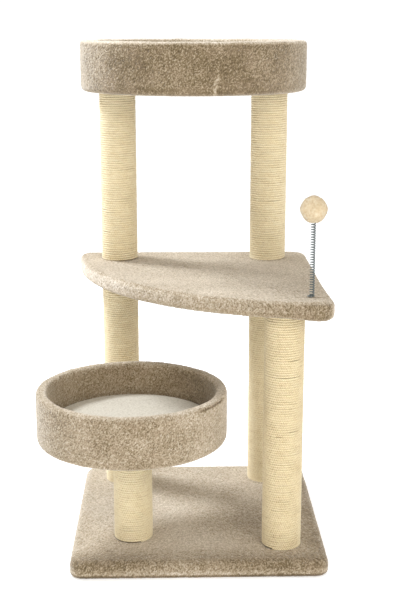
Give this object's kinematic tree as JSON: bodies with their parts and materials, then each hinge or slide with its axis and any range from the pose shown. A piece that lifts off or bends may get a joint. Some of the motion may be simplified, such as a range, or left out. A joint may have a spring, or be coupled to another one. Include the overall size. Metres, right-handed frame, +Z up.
{
  "type": "cat tree",
  "caption": "Free-standing cat tree: square carpeted base, rope-wrapped posts, quarter-circle shelf, low bowl bed, high round bed and a pompom on a spring.",
  "frame": {"origin": "on the floor, under the middle of the overall bounding box; the base's own middle is at x 39.75 mm, y -57 mm", "axes": "+Z up; -Y towards the viewer, the side of the low bed and the pompom; +X to the viewer's right"},
  "size_m": [0.6894, 0.881, 1.2215],
  "materials": {
    "carpet": "matte",
    "pad_fleece": "matte",
    "sisal_rope": "matte",
    "board": "matte",
    "plug_wood": "matte",
    "tube_card": "matte",
    "felt_lining": "matte",
    "zinc_steel": "satin",
    "spring_steel": "satin",
    "pompom_plush": "matte"
  },
  "bodies": {
    "root": {"base_carpet": "carpet", "base_board": "board", "rear_left_base_bolt": "zinc_steel", "rear_right_base_bolt": "zinc_steel", "front_right_base_bolt": "zinc_steel", "bowl_base_bolt": "zinc_steel", "rear_left_lower_post_tube": "tube_card", "rear_left_lower_post_rope": "sisal_rope", "rear_left_lower_post_bottom_plug": "plug_wood", "rear_left_lower_post_top_plug": "plug_wood", "rear_right_lower_post_tube": "tube_card", "rear_right_lower_post_rope": "sisal_rope", "rear_right_lower_post_bottom_plug": "plug_wood", "rear_right_lower_post_top_plug": "plug_wood", "front_right_post_tube": "tube_card", "front_right_post_rope": "sisal_rope", "front_right_post_bottom_plug": "plug_wood", "front_right_post_top_plug": "plug_wood", "bowl_post_tube": "tube_card", "bowl_post_rope": "sisal_rope", "bowl_post_bottom_plug": "plug_wood", "bowl_post_top_plug": "plug_wood", "rear_left_upper_post_tube": "tube_card", "rear_left_upper_post_rope": "sisal_rope", "rear_left_upper_post_bottom_plug": "plug_wood", "rear_left_upper_post_top_plug": "plug_wood", "rear_right_upper_post_tube": "tube_card", "rear_right_upper_post_rope": "sisal_rope", "rear_right_upper_post_bottom_plug": "plug_wood", "rear_right_upper_post_top_plug": "plug_wood", "shelf_carpet": "carpet", "shelf_board": "board", "shelf_lining": "felt_lining", "rear_left_shelf_stud": "zinc_steel", "rear_right_shelf_stud": "zinc_steel", "front_right_shelf_screw": "zinc_steel", "bowl_carpet": "carpet", "bowl_ring": "board", "bowl_floor_board": "board", "bowl_lining": "felt_lining", "bowl_pad": "pad_fleece", "perch_carpet": "carpet", "perch_ring": "board", "perch_floor_board": "board", "perch_lining": "felt_lining", "perch_pad": "pad_fleece", "bowl_bolt": "zinc_steel", "perch_bolt_left": "zinc_steel", "perch_bolt_right": "zinc_steel", "spring_foot": "spring_steel", "spring_staple_left": "spring_steel", "spring_staple_front": "spring_steel"},
    "toy_lower": {"spring_lower": "spring_steel"},
    "toy_middle": {"spring_middle": "spring_steel"},
    "toy_upper": {"spring_upper": "spring_steel"},
    "toy_tip": {"spring_tip": "spring_steel", "pompom": "pompom_plush"}
  },
  "joints": [
    {"name": "bend_forward_low", "type": "hinge", "parent": "root", "child": "toy_lower", "pos_m": [0.29525, -0.301, 0.68305], "axis": [1, 0, 0], "range_deg": [-30, 30], "stiffness_Nm_per_rad": 0.25},
    {"name": "bend_side_low", "type": "hinge", "parent": "toy_lower", "child": "toy_middle", "pos_m": [0.29525, -0.301, 0.72515], "axis": [0, 1, 0], "range_deg": [-30, 30], "stiffness_Nm_per_rad": 0.25},
    {"name": "bend_forward_high", "type": "hinge", "parent": "toy_middle", "child": "toy_upper", "pos_m": [0.29525, -0.301, 0.76725], "axis": [1, 0, 0], "range_deg": [-30, 30], "stiffness_Nm_per_rad": 0.25},
    {"name": "bend_side_high", "type": "hinge", "parent": "toy_upper", "child": "toy_tip", "pos_m": [0.29525, -0.301, 0.80935], "axis": [0, 1, 0], "range_deg": [-30, 30], "stiffness_Nm_per_rad": 0.25}
  ],
  "couplings": [
    {"joint": "bend_forward_high", "follows": "bend_forward_low", "ratio": 1},
    {"joint": "bend_side_high", "follows": "bend_side_low", "ratio": 1}
  ]
}
